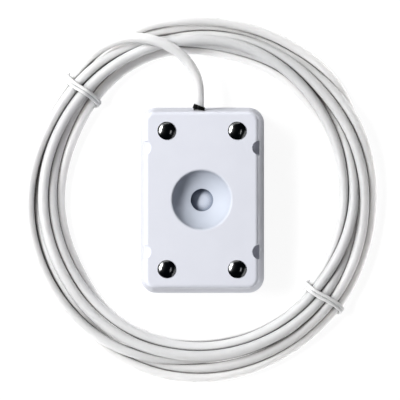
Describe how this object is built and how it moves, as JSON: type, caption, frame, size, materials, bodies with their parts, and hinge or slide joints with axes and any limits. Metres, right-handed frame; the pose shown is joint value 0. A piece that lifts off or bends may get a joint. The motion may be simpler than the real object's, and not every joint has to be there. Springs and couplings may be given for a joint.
{
  "type": "water level sensor",
  "caption": "White box water sensor with domed metal contacts and a dished mounting hole on its face, on a long cable wound in a tied ring.",
  "frame": {"origin": "centre of the back face's footprint, on the surface that the box lies on", "axes": "+Z out of the contact face, +Y along the box towards the cable's end, +X across the box"},
  "size_m": [0.1429, 0.1489, 0.0204],
  "materials": {
    "white_housing": "fine satin moulded texture, slightly cool white",
    "white_cover": "fine satin moulded texture",
    "contact_metal": "polished plated dome",
    "seal_rubber": "black rubber",
    "fastener_steel": "zinc plated steel",
    "board_laminate": "green coated laminate",
    "board_copper": "bright copper",
    "solder": "bright solder",
    "resistor_body": "lacquered beige body",
    "black_tie": "black nylon",
    "cable_jacket": "off-white soft jacket",
    "red_insulation": "red insulation",
    "black_insulation": "black insulation",
    "tinned_wire": "tinned stranded wire",
    "white_tie": "white plastic strand"
  },
  "bodies": {
    "root": {"housing": "white_housing", "back_cover": "white_cover", "contact_top_left": "contact_metal", "contact_top_right": "contact_metal", "contact_bottom_left": "contact_metal", "contact_bottom_right": "contact_metal", "contact_seals": "seal_rubber", "contact_washers": "fastener_steel", "contact_nuts": "fastener_steel", "circuit_board": "board_laminate", "track_left": "board_copper", "track_right": "board_copper", "solder_joints": "solder", "line_resistor": "resistor_body", "exit_tie": "black_tie", "inner_tie": "black_tie", "cable_lead": "cable_jacket", "cable_coil": "cable_jacket", "inner_wire_red": "red_insulation", "inner_wire_black": "black_insulation", "tail_wire_red": "red_insulation", "tail_wire_black": "black_insulation", "tail_bare_ends": "tinned_wire", "ring_tie_upper_left": "white_tie", "ring_tie_lower_right": "white_tie"}
  },
  "joints": []
}
